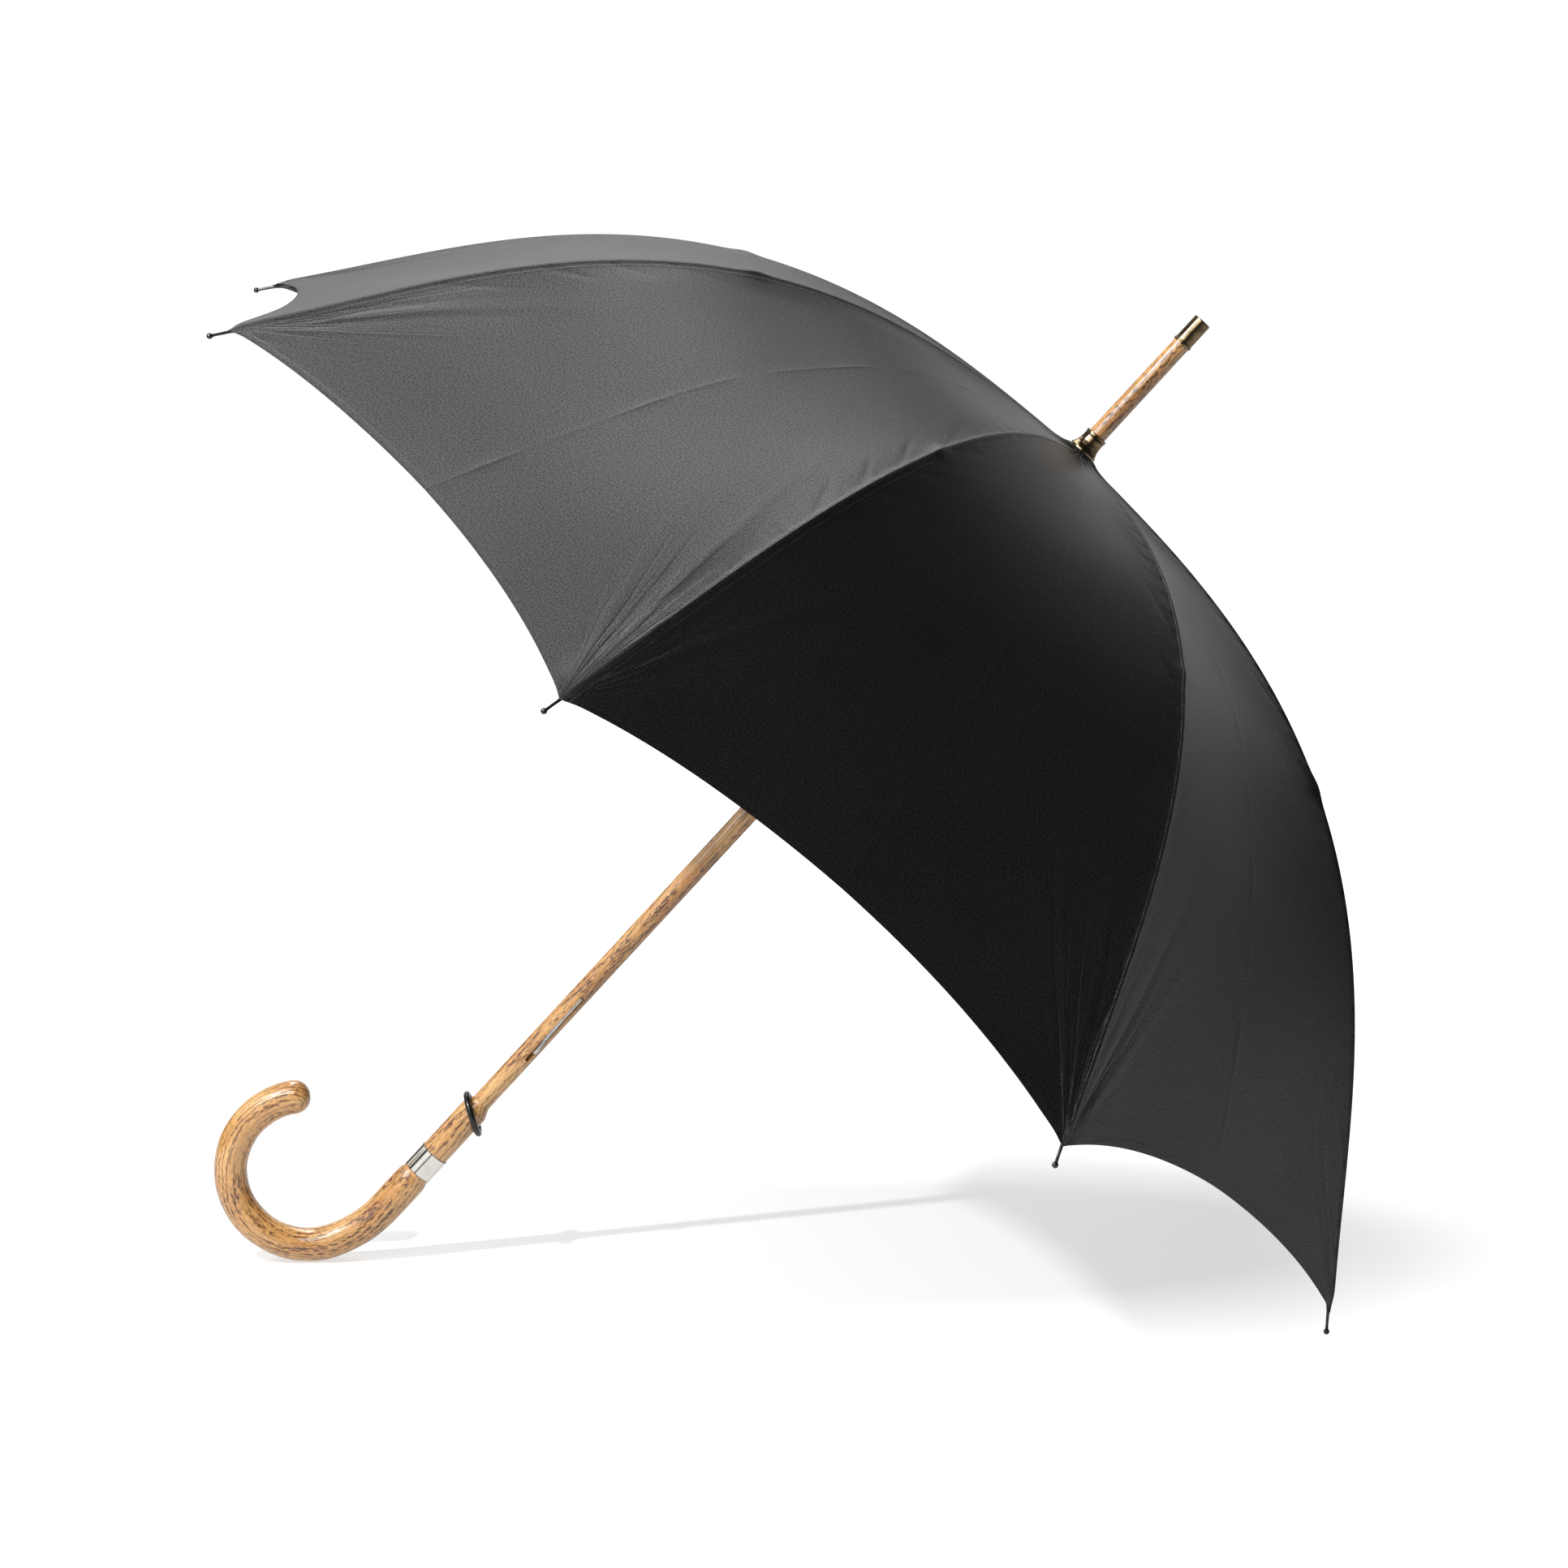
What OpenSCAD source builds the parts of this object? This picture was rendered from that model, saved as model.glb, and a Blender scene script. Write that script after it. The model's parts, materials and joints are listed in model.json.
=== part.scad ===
// Stick umbrella with a crook handle, open, standing on its crook and its two lowest rib tips.
// Every piece is drawn on the umbrella's own axes: Z runs up the stick toward the ferrule, with
// zero where the cover meets the crown, and X points from the stick toward the two ribs that
// stand on the floor. place() then lays the whole umbrella on the floor, with +Z up.

/* [Cover] */
// Length of one seam of the cover, from the crown to its corner
seam_len = 620; // [600:5:640]
// Radius at which the seams start
crown_r = 10; // [9.5:0.5:11]
// Slope of a seam at the crown, in degrees
slope_0 = 2; // [1:0.5:4]
// How fast the slope grows: straight, squared and cubed terms
slope_1 = 4; // [2:1:8]
slope_2 = 178; // [165:1:185]
slope_3 = -133.5; // [-140:0.5:-125]
// How far the hem bows in between two ribs
hem_bow = 22; // [10:1:40]
// Thickness of the cloth
cloth = 0.5; // [0.4:0.1:0.6]

/* [Frame] */
// Number of 5 mm steps along the seam to the joint between rib and stretcher
joint_step = 55; // [54:1:56]
// Radius of the two wire rings that the ribs and the stretchers turn on
ring_r = 11; // [10.8:0.1:11.2]
// Thickness of the wire rings
wire_d = 1.2; // [1.1:0.1:1.2]
// Width of a rib channel
rib_w = 3.2; // [3:0.1:3.4]
// Height of a rib channel
rib_h = 3; // [2.8:0.1:3.2]
// Radius of the ball on a rib tip
ball_r = 2; // [1.8:0.1:2.2]

/* [Stick] */
// Diameter of the stick below the cover
stick_d = 14; // [13.8:0.1:14.2]
// Diameter of the stick above the cover
nose_d = 13; // [12:0.5:13]
// Where the ferrule begins and ends above the crown
ferrule_z0 = 103; // [98:1:108]
ferrule_z1 = 124.5; // [118:0.5:130]
// Start of the thick lower part of the stick
shoulder_z = -613; // [-620:1:-610]
// Diameter of the thick lower part
grip_d = 20.5; // [20:0.5:21]
// Upper and lower edge of the metal collar
collar_z1 = -662; // [-664:1:-658]
collar_z0 = -680.5; // [-684:0.5:-676]

/* [Crook] */
// Radius of the bend where the crook begins
bend_1 = 90; // [80:5:100]
// Angle of that first bend
bend_1_a = 28.5; // [26:0.5:30]
// Radius of the main bend
bend_2 = 53.6; // [50:0.2:56]
// Angle at which the crook ends, counted from the straight stick
crook_end = 218; // [205:1:225]
// Diameter of the wood in the crook
crook_d = 23.6; // [22:0.2:24]
// End of the straight part of the handle
crook_z = -713.6; // [-716:0.2:-710]

/* [Runner and springs] */
// Length of the runner's tube below its ring of stretchers
runner_len = 38; // [30:1:40]
// Direction of the two slots with flat springs, around the stick
spring_az = -70; // [-71:1:-69]
// Lean of the loose keeper ring on the stick, in degrees
ring_tilt = 31; // [29:1:32]

/* [Hidden] */
ribs = 8;
step_deg = 360 / ribs;
half_deg = step_deg / 2;
n_seam = 124;
ds = seam_len / n_seam;
gap_cloth = 1.5;
run_gap = 0.05;
wire_r = wire_d / 2;
eye_r = wire_r + run_gap;
stick_r = stick_d / 2;
grip_r = grip_d / 2;
crook_r = crook_d / 2;
rib_dc = gap_cloth + rib_h / 2;
pivot_z = -rib_dc - 0.1;
rivet_r = 0.7;
// Width of a stretcher's fork: the rivet heads clear it by 0.1 on each side
fork_w = 4.8;

function slope(t) = slope_0 + slope_1 * t + slope_2 * t * t + slope_3 * t * t * t;
seam = [for (i = 0, r = crown_r, z = 0; i <= n_seam;
    r = r + ds * cos(slope((i + 0.5) / n_seam)),
    z = z - ds * sin(slope((i + 0.5) / n_seam)), i = i + 1) [r, z]];
// A point at depth d under the seam, and a point x further along the seam from it
function under(i, d) = seam[i] - d * [sin(slope(i / n_seam)), cos(slope(i / n_seam))];
function along(i, x) = x * [cos(slope(i / n_seam)), -sin(slope(i / n_seam))];
pivot = [ring_r, pivot_z];
joint = under(joint_step, rib_dc);
arm = norm(joint - pivot);
arm_deg = atan2(pivot[1] - joint[1], joint[0] - pivot[0]);
runner_z = pivot_z - 2 * arm * sin(arm_deg);
tip_i = n_seam - 2;
tip_base = under(tip_i, rib_dc);
tip_deg = slope(tip_i / n_seam);
ball_x = 32;
ball = tip_base + ball_x * [cos(tip_deg), -sin(tip_deg)];

// Centre of the main bend of the crook
crook_c = [-bend_1 + (bend_1 - bend_2) * cos(bend_1_a), crook_z - (bend_1 - bend_2) * sin(bend_1_a)];
// The floor touches the crook and the two lowest balls
reach = [ball[0] * cos(half_deg) - crook_c[0], ball[1] - crook_c[1]];
lean = asin((bend_2 + crook_r - ball_r) / norm(reach));
tilt = 90 - atan2(reach[1], reach[0]) - lean;
crown_h = bend_2 + crook_r + cos(tilt) * crook_c[0] - sin(tilt) * crook_c[1];
// Furthest points of the umbrella along X, so that the origin is under the middle of it
x_max = max([for (p = seam) sin(tilt) * cos(half_deg) * p[0] + cos(tilt) * p[1]]);
x_min = sin(tilt) * crook_c[0] + cos(tilt) * crook_c[1] - bend_2 - crook_r;
x_mid = (x_max + x_min) / 2;

module place() {
    translate([-x_mid, 0, crown_h])
        rotate([0, 90 - tilt, 0])
            children();
}

// Rib k stands half a step past the X axis: ribs 1 and 2 are the two on the floor
module at_rib(k) {
    place()
        rotate([0, 0, (k - 1.5) * step_deg])
            children();
}

// A side view given as an outline of radius and height, made w wide
module slab(outline, w) {
    rotate([90, 0, 0])
        linear_extrude(w, center = true)
            polygon(outline);
}

// A pin or hole through a rib at point p
module cross(p, r, w) {
    translate([p[0], 0, p[1]])
        rotate([90, 0, 0])
            cylinder(r = r, h = w, center = true, $fn = 32);
}

// Outline of a strip of the rib from step i0 to step i1, between two depths under the seam
function rib_outline(i0, i1, d0, d1, hop) = concat(
    [for (i = [i0 : hop : i1]) under(i, d0)],
    [for (i = [i0 : hop : i1]) under(i1 - (i - i0), d1)]);

module stick() {
    color([0.80, 0.60, 0.36])
    place()
    difference() {
        rotate_extrude($fn = 96)
            polygon([[0, -671], [grip_r, -671], [grip_r, shoulder_z - 8], [grip_r - 1.1, shoulder_z - 5.5],
                [stick_r + 0.5, shoulder_z - 1.5], [stick_r, shoulder_z], [stick_r, 14],
                [nose_d / 2, 19], [nose_d / 2 - 0.2, ferrule_z0], [nose_d / 2 - 0.9, ferrule_z0],
                [nose_d / 2 - 0.9, ferrule_z1 - 1.5], [0, ferrule_z1 - 1.5]]);
        // Slot for the hand spring
        rotate([0, 0, spring_az])
            translate([1.2, -1.5, -569])
                cube([8, 3, 59.5]);
        // Slot for the top spring
        rotate([0, 0, spring_az])
            translate([1.2, -1.5, runner_z - runner_len - 57.5])
                cube([8, 3, 59.5]);
    }
}

// Rings of the crook, each [X, Z, direction, radius]: the straight part, the two bends and the
// rounded end. The direction is the angle turned so far from straight down the stick.
function bend_pt(c, r, a) = [c[0] + r * cos(a), c[1] - r * sin(a)];
crook_end_pt = bend_pt(crook_c, bend_2, crook_end);
crook_end_r = crook_r + 0.4;
crook_rings = concat(
    [[0, -671, 0, grip_r], [0, collar_z0, 0, grip_r], [0, -683.5, 0, grip_r + 0.9],
        [0, -688, 0, crook_r], [0, crook_z, 0, crook_r]],
    [for (i = [1 : 5]) let (a = bend_1_a * i / 5, p = bend_pt([-bend_1, crook_z], bend_1, a))
        [p[0], p[1], a, crook_r]],
    [for (i = [1 : 32]) let (a = bend_1_a + (crook_end - bend_1_a) * i / 32, p = bend_pt(crook_c, bend_2, a))
        [p[0], p[1], a, crook_r + (i > 24 ? 0.4 * (i - 24) / 8 : 0)]],
    [for (i = [1 : 6]) let (b = i * 14.2)
        [crook_end_pt[0] - crook_end_r * sin(b) * sin(crook_end),
            crook_end_pt[1] - crook_end_r * sin(b) * cos(crook_end), crook_end, crook_end_r * cos(b)]]);
crook_sides = 28;

module crook_handle() {
    color([0.80, 0.60, 0.36])
    place()
        polyhedron(
            [for (g = crook_rings) for (j = [0 : crook_sides - 1]) let (f = 360 * j / crook_sides)
                [g[0] + g[3] * cos(f) * cos(g[2]), g[3] * sin(f), g[1] - g[3] * cos(f) * sin(g[2])]],
            concat([[for (j = [0 : crook_sides - 1]) j]],
                [for (i = [0 : len(crook_rings) - 2]) for (j = [0 : crook_sides - 1])
                    let (a = i * crook_sides + j, b = i * crook_sides + (j + 1) % crook_sides)
                    [a, a + crook_sides, b + crook_sides, b]],
                [[for (j = [crook_sides - 1 : -1 : 0]) (len(crook_rings) - 1) * crook_sides + j]]));
}

module handle_collar() {
    color([0.78, 0.78, 0.78])
    place()
    difference() {
        translate([0, 0, collar_z0])
            cylinder(r = grip_r + 0.6, h = collar_z1 - collar_z0, $fn = 96);
        translate([0, 0, collar_z0 - 1])
            cylinder(r = grip_r, h = collar_z1 - collar_z0 + 2, $fn = 96);
    }
}

module tip_ferrule() {
    color([0.50, 0.40, 0.24])
    place()
    difference() {
        rotate_extrude($fn = 96)
            polygon([[0, ferrule_z0], [nose_d / 2 + 0.5, ferrule_z0], [nose_d / 2 + 0.6, ferrule_z0 + 1],
                [nose_d / 2 + 0.5, ferrule_z0 + 2.2], [nose_d / 2, ferrule_z0 + 2.6],
                [nose_d / 2, ferrule_z1 - 0.5], [nose_d / 2 - 0.5, ferrule_z1], [0, ferrule_z1]]);
        translate([0, 0, ferrule_z0 - 1])
            cylinder(r = nose_d / 2 - 0.9, h = ferrule_z1 - ferrule_z0 - 0.5, $fn = 96);
    }
}

module crown_cup() {
    color([0.42, 0.34, 0.22])
    place()
    difference() {
        rotate_extrude($fn = 96)
            polygon([[7.2, 4], [10.6, 4], [10.6, 5], [9.6, 6.2], [8.6, 8.4], [8, 11.5],
                [7.8, 15.5], [8.1, 17], [8.1, 18.5], [7.6, 19], [7.2, 19]]);
        translate([0, 0, 3])
            cylinder(r = stick_r, h = 17, $fn = 96);
    }
}

// A ring of slots for the ends of the ribs or stretchers, with a groove for the wire.
// The slots run from z0 to z1, and the wire lies at height 0.
module slot_ring(z0, z1, s0, s1) {
    difference() {
        translate([0, 0, z0])
            cylinder(r = ring_r + 2, h = z1 - z0, $fn = 96);
        for (k = [1 : ribs])
            rotate([0, 0, (k - 1.5) * step_deg])
                translate([ring_r - 1.95, -1.1, s0])
                    cube([6, 2.2, s1 - s0]);
        rotate_extrude($fn = 96)
            translate([ring_r, 0])
                circle(r = wire_r, $fn = 32);
    }
}

module top_notch() {
    color([0.55, 0.55, 0.56])
    place()
    difference() {
        union() {
            translate([0, 0, pivot_z])
                slot_ring(-4, 2.2, -5, 3);
            translate([0, 0, -20])
                cylinder(r = 9, h = 24, $fn = 96);
        }
        translate([0, 0, -21])
            cylinder(r = stick_r, h = 30, $fn = 96);
    }
}

module wire_ring(z) {
    place()
        translate([0, 0, z])
            rotate_extrude($fn = 96)
                translate([ring_r, 0])
                    circle(r = wire_r, $fn = 32);
}

module top_notch_wire() {
    color([0.6, 0.6, 0.6])
        wire_ring(pivot_z);
}

module runner_wire() {
    color([0.6, 0.6, 0.6])
        wire_ring(runner_z);
}

module runner() {
    color([0.62, 0.62, 0.64])
    place()
    translate([0, 0, runner_z])
    difference() {
        union() {
            slot_ring(-4, 3.4, -2.1, 5);
            translate([0, 0, -runner_len])
                cylinder(r = 8.5, h = runner_len + 7, $fn = 96);
            translate([0, 0, -runner_len])
                cylinder(r = 9.4, h = 4, $fn = 96);
        }
        translate([0, 0, -runner_len - 1])
            cylinder(r = stick_r + 0.08, h = runner_len + 12, $fn = 96);
        // Way for the catches of the two springs
        rotate([0, 0, spring_az])
            translate([5, -1.6, -runner_len - 1])
                cube([4.6, 3.2, runner_len + 12]);
    }
}

// A flat spring that lies in its slot: its catch stands out of the stick
spring_outline = [[4.2, 0], [5.4, 0], [5.6, 20], [6.4, 38], [8.9, 46], [8.9, 49.5], [5.2, 52.5],
    [4.4, 52.5], [4.6, 48], [5.2, 39], [4.4, 20]];

module flat_spring() {
    rotate([0, 0, spring_az])
        rotate([90, 0, 0])
            linear_extrude(2.2, center = true) {
                polygon(spring_outline);
                // Round knuckle that the spring rocks on
                translate([4.8, 0])
                    circle(r = 0.9, $fn = 48);
            }
}

module hand_spring() {
    color([0.72, 0.72, 0.72])
    place()
        translate([0, 0, -511])
            mirror([0, 0, 1])
                flat_spring();
}

module top_spring() {
    color([0.72, 0.72, 0.72])
    place()
        translate([0, 0, runner_z - runner_len - 53])
            flat_spring();
}

module keeper_ring() {
    color([0.05, 0.05, 0.05])
    place()
        translate([1, 0, shoulder_z - 10.5])
            rotate([0, ring_tilt, 0])
                rotate_extrude($fn = 96)
                    translate([14.4, 0])
                        circle(r = 2.25, $fn = 40);
}

module rib_inner(k) {
    color([0.30, 0.30, 0.31])
    at_rib(k) {
        difference() {
            union() {
                // Flat end with the eye for the wire
                slab(concat([pivot], [for (i = [1 : 3]) under(i, gap_cloth + 0.1)],
                    [for (i = [3 : -1 : 1]) under(i, gap_cloth + rib_h - 0.1)]), 1.6);
                cross(pivot, 1.6, 1.6);
                slab(rib_outline(3, joint_step - 1, gap_cloth, gap_cloth + rib_h, 3), rib_w);
                cross(joint, rib_h / 2, rib_w);
                slab([under(joint_step - 1, gap_cloth), under(joint_step, gap_cloth),
                    under(joint_step, gap_cloth + rib_h), under(joint_step - 1, gap_cloth + rib_h)], rib_w);
            }
            cross(pivot, eye_r, 4);
            // Flute along the underside
            slab(concat([for (i = [4 : 3 : joint_step - 2]) under(i, gap_cloth + 0.9)],
                [under(joint_step - 2, gap_cloth + 0.9), under(joint_step - 2, gap_cloth + rib_h + 1)],
                [for (i = [joint_step - 3 : -3 : 4]) under(i, gap_cloth + rib_h + 1)]), 2);
            // Fork around the flat end of the outer rib
            cross(joint, 2.4, 2);
            slab([under(joint_step - 1, 0), under(joint_step, 0) + along(joint_step, 3),
                under(joint_step, 6) + along(joint_step, 3), under(joint_step - 1, 6)], 2);
        }
        // Rivet through the joint
        cross(joint, rivet_r, 5.2);
        for (s = [-1, 1])
            translate([joint[0], s * 2.75, joint[1]])
                rotate([90, 0, 0])
                    cylinder(r = 1.2, h = 0.5, center = true, $fn = 32);
    }
}

module rib_outer(k) {
    color([0.30, 0.30, 0.31])
    at_rib(k) {
        difference() {
            union() {
                // Flat end on the rivet
                slab(concat([for (i = [joint_step : joint_step + 2]) under(i, gap_cloth + 0.1)],
                    [for (i = [joint_step + 2 : -1 : joint_step]) under(i, gap_cloth + rib_h - 0.1)]), 1.8);
                cross(joint, rib_h / 2 - 0.1, 1.8);
                slab(rib_outline(joint_step + 1, tip_i - 1, gap_cloth, gap_cloth + rib_h, 3), rib_w);
                slab([under(tip_i - 2, gap_cloth), under(tip_i, gap_cloth),
                    under(tip_i, gap_cloth + rib_h), under(tip_i - 2, gap_cloth + rib_h)], rib_w);
            }
            cross(joint, rivet_r + run_gap, 6);
            // Flute along the underside
            slab(concat([for (i = [joint_step + 3 : 3 : tip_i - 3]) under(i, gap_cloth + 0.9)],
                [under(tip_i - 2, gap_cloth + 0.9), under(tip_i - 2, gap_cloth + rib_h + 1)],
                [for (i = [tip_i - 3 : -3 : joint_step + 3]) under(i, gap_cloth + rib_h + 1)]), 2);
        }
        // Round end that holds the tip
        translate([tip_base[0], 0, tip_base[1]])
            rotate([0, 90 + tip_deg, 0])
                translate([0, 0, -1])
                    cylinder(r = 1, h = 9, $fn = 48);
    }
}

// Local axis of a tip: its socket begins at 0.3 and its ball is at ball_x
module rib_tip(k) {
    color([0.22, 0.22, 0.23])
    at_rib(k)
    translate([tip_base[0], 0, tip_base[1]])
    rotate([0, 90 + tip_deg, 0])
    difference() {
        union() {
            rotate_extrude($fn = 48)
                polygon([[0, 0.3], [1.7, 0.3], [1.9, 1], [1.9, 9], [1.5, 12], [1.5, 15], [1.1, 18],
                    [0.95, 27], [1.1, ball_x - 1], [0, ball_x]]);
            translate([0, 0, ball_x])
                sphere(r = ball_r, $fn = 48);
        }
        cylinder(r = 1, h = 8, $fn = 48);
        // Eye for the thread that holds the corner of the cover
        translate([0, 0, 13.5])
            rotate([90, 0, 0])
                cylinder(r = 0.6, h = 6, center = true, $fn = 24);
    }
}

module stretcher(k) {
    color([0.34, 0.34, 0.35])
    at_rib(k)
    translate([ring_r, 0, runner_z])
    rotate([0, -arm_deg, 0])
    difference() {
        union() {
            // Flat end with the eye for the runner's wire
            rotate([90, 0, 0])
                cylinder(r = 1.6, h = 1.6, center = true, $fn = 32);
            translate([0, -0.8, -1.2])
                cube([9, 1.6, 2.4]);
            // Bar
            translate([8, -1.5, -1.3])
                cube([arm - 8 - 13.5, 3, 2.6]);
            // Fork around the rib
            translate([arm - 17, -fork_w / 2, -1.3])
                cube([17, fork_w, 2.6]);
            translate([arm, 0, 0])
                rotate([90, 0, 0])
                    cylinder(r = 1.3, h = fork_w, center = true, $fn = 32);
        }
        rotate([90, 0, 0])
            cylinder(r = eye_r, h = 4, center = true, $fn = 32);
        translate([arm, 0, 0])
            rotate([90, 0, 0])
                cylinder(r = rivet_r + run_gap, h = 8, center = true, $fn = 32);
        // Room for the rib between the cheeks
        translate([arm - 13.5, -1.75, -4])
            cube([20, 3.5, 8]);
        // Flute along the top of the bar
        translate([12, -0.9, 0.2])
            cube([arm - 8 - 26, 1.8, 3]);
    }
}

// One triangular panel of the cover, stretched straight across between ribs k and k + 1.
// plan() is its outline seen from above, with the hem bowed in.
function mid_r(i) = seam[i][0] * cos(half_deg);
function hem_step(s) = n_seam - (1 - pow(abs(s), 1.7)) * hem_bow / ds;
function seam_x(u) = let (i = floor(min(u, n_seam - 1)), f = u - i)
    mid_r(i) + f * (mid_r(i + 1) - mid_r(i));
plan = concat([[13.5, 13.5 * tan(half_deg) - 0.4], [13.5, -13.5 * tan(half_deg) + 0.4]],
    [for (j = [-12 : 12]) let (s = j / 12, x = seam_x(hem_step(s)))
        [x, s * (x * tan(half_deg) - 0.4)]]);

module cover_panel(k) {
    color([0.07, 0.07, 0.07])
    at_rib(k)
    rotate([0, 0, half_deg])
    intersection() {
        slab(concat([for (i = [0 : 4 : n_seam]) [mid_r(i), seam[i][1]]],
            [for (i = [n_seam : -4 : 0])
                [mid_r(i) - cloth * sin(slope(i / n_seam)), seam[i][1] - cloth * cos(slope(i / n_seam))]]),
            500);
        translate([0, 0, -400])
            linear_extrude(500)
                polygon(plan);
    }
}

stick();
crook_handle();
handle_collar();
tip_ferrule();
crown_cup();
top_notch();
top_notch_wire();
runner();
runner_wire();
top_spring();
hand_spring();
keeper_ring();
rib_inner(1);  // rib_1_inner
rib_inner(2);  // rib_2_inner
rib_inner(3);  // rib_3_inner
rib_inner(4);  // rib_4_inner
rib_inner(5);  // rib_5_inner
rib_inner(6);  // rib_6_inner
rib_inner(7);  // rib_7_inner
rib_inner(8);  // rib_8_inner
rib_outer(1);  // rib_1_outer
rib_outer(2);  // rib_2_outer
rib_outer(3);  // rib_3_outer
rib_outer(4);  // rib_4_outer
rib_outer(5);  // rib_5_outer
rib_outer(6);  // rib_6_outer
rib_outer(7);  // rib_7_outer
rib_outer(8);  // rib_8_outer
stretcher(1);  // stretcher_1
stretcher(2);  // stretcher_2
stretcher(3);  // stretcher_3
stretcher(4);  // stretcher_4
stretcher(5);  // stretcher_5
stretcher(6);  // stretcher_6
stretcher(7);  // stretcher_7
stretcher(8);  // stretcher_8
rib_tip(1);  // rib_tip_1
rib_tip(2);  // rib_tip_2
rib_tip(3);  // rib_tip_3
rib_tip(4);  // rib_tip_4
rib_tip(5);  // rib_tip_5
rib_tip(6);  // rib_tip_6
rib_tip(7);  // rib_tip_7
rib_tip(8);  // rib_tip_8
cover_panel(1);  // cover_panel_1
cover_panel(2);  // cover_panel_2
cover_panel(3);  // cover_panel_3
cover_panel(4);  // cover_panel_4
cover_panel(5);  // cover_panel_5
cover_panel(6);  // cover_panel_6
cover_panel(7);  // cover_panel_7
cover_panel(8);  // cover_panel_8
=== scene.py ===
import json
import math

import bpy
import numpy as np
from mathutils import Matrix, Vector


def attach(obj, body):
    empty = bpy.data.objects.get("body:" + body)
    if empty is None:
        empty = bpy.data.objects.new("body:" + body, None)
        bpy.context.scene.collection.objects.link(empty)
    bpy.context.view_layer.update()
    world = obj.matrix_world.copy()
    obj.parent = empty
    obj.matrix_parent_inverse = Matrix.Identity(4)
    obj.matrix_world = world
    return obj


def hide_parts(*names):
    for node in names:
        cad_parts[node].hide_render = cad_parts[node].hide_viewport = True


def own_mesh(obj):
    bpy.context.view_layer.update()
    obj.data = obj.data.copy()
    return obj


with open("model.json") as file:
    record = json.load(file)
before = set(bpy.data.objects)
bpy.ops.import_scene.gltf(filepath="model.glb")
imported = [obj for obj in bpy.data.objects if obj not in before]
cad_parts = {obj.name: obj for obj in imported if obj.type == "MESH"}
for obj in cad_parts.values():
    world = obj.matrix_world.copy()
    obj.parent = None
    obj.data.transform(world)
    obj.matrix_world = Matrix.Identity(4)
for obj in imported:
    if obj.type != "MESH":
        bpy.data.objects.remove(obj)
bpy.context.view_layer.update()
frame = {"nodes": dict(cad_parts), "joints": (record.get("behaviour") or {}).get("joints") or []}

MM = 0.001

# ---------------------------------------------------------------- the umbrella's own axes
# Z runs up the stick to the ferrule, zero is where the cover meets the crown, and X points
# from the stick to the middle between ribs 1 and 2, which stand on the floor.
RIBS = 8
HALF = math.pi / RIBS
PIVOT_DEPTH = 3.1 * MM

joints = {j["name"]: j for j in frame["joints"]}
fold_joint = {k: "canopy_fold" if k == 1 else f"rib_fold_{k}" for k in range(1, RIBS + 1)}
pivots = [Vector(joints[fold_joint[k]]["pos_m"]) for k in range(1, RIBS + 1)]
shaft = Vector(joints["keeper_ring_slide"]["axis"]).normalized()
hub = sum(pivots, Vector()) / RIBS
crown = hub + shaft * PIVOT_DEPTH
toward_feet = ((pivots[0] + pivots[1]) / 2 - hub).normalized()
sideways = shaft.cross(toward_feet)
AXES = np.array([toward_feet, sideways, shaft])


def to_row(points):
    """Points in millimetres on the umbrella's axes, as metres in the row frame."""
    return np.asarray(points, float) * MM @ AXES + np.array(crown)


def rib_azimuth(k):
    """Angle of rib k around the stick."""
    return (k - 1.5) * 2 * HALF


def smooth(low, high, x):
    """0 at low and 1 at high, with a smooth step between them."""
    t = np.clip((x - low) / (high - low), 0, 1)
    return t * t * (3 - 2 * t)


# ---------------------------------------------------------------- camera
LENS_MM = 103.9
CAMERA_AZIMUTH = math.radians(2.4)
CAMERA_HEIGHT_ANGLE = math.radians(10.3)
CAMERA_DISTANCE = 3.136
CAMERA_TARGET = Vector((0.0123, 0, 0.3379))


def make_camera():
    data = bpy.data.cameras.new("camera")
    data.lens = LENS_MM
    data.sensor_width = 36
    data.clip_start = 0.05
    data.clip_end = 60
    camera = bpy.data.objects.new("camera", data)
    bpy.context.scene.collection.objects.link(camera)
    level = math.cos(CAMERA_HEIGHT_ANGLE)
    forward = Vector((math.sin(CAMERA_AZIMUTH) * level, math.cos(CAMERA_AZIMUTH) * level,
                      -math.sin(CAMERA_HEIGHT_ANGLE)))
    camera.location = CAMERA_TARGET - forward * CAMERA_DISTANCE
    camera.rotation_mode = "QUATERNION"
    camera.rotation_quaternion = forward.to_track_quat("-Z", "Y")
    bpy.context.scene.camera = camera


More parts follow.
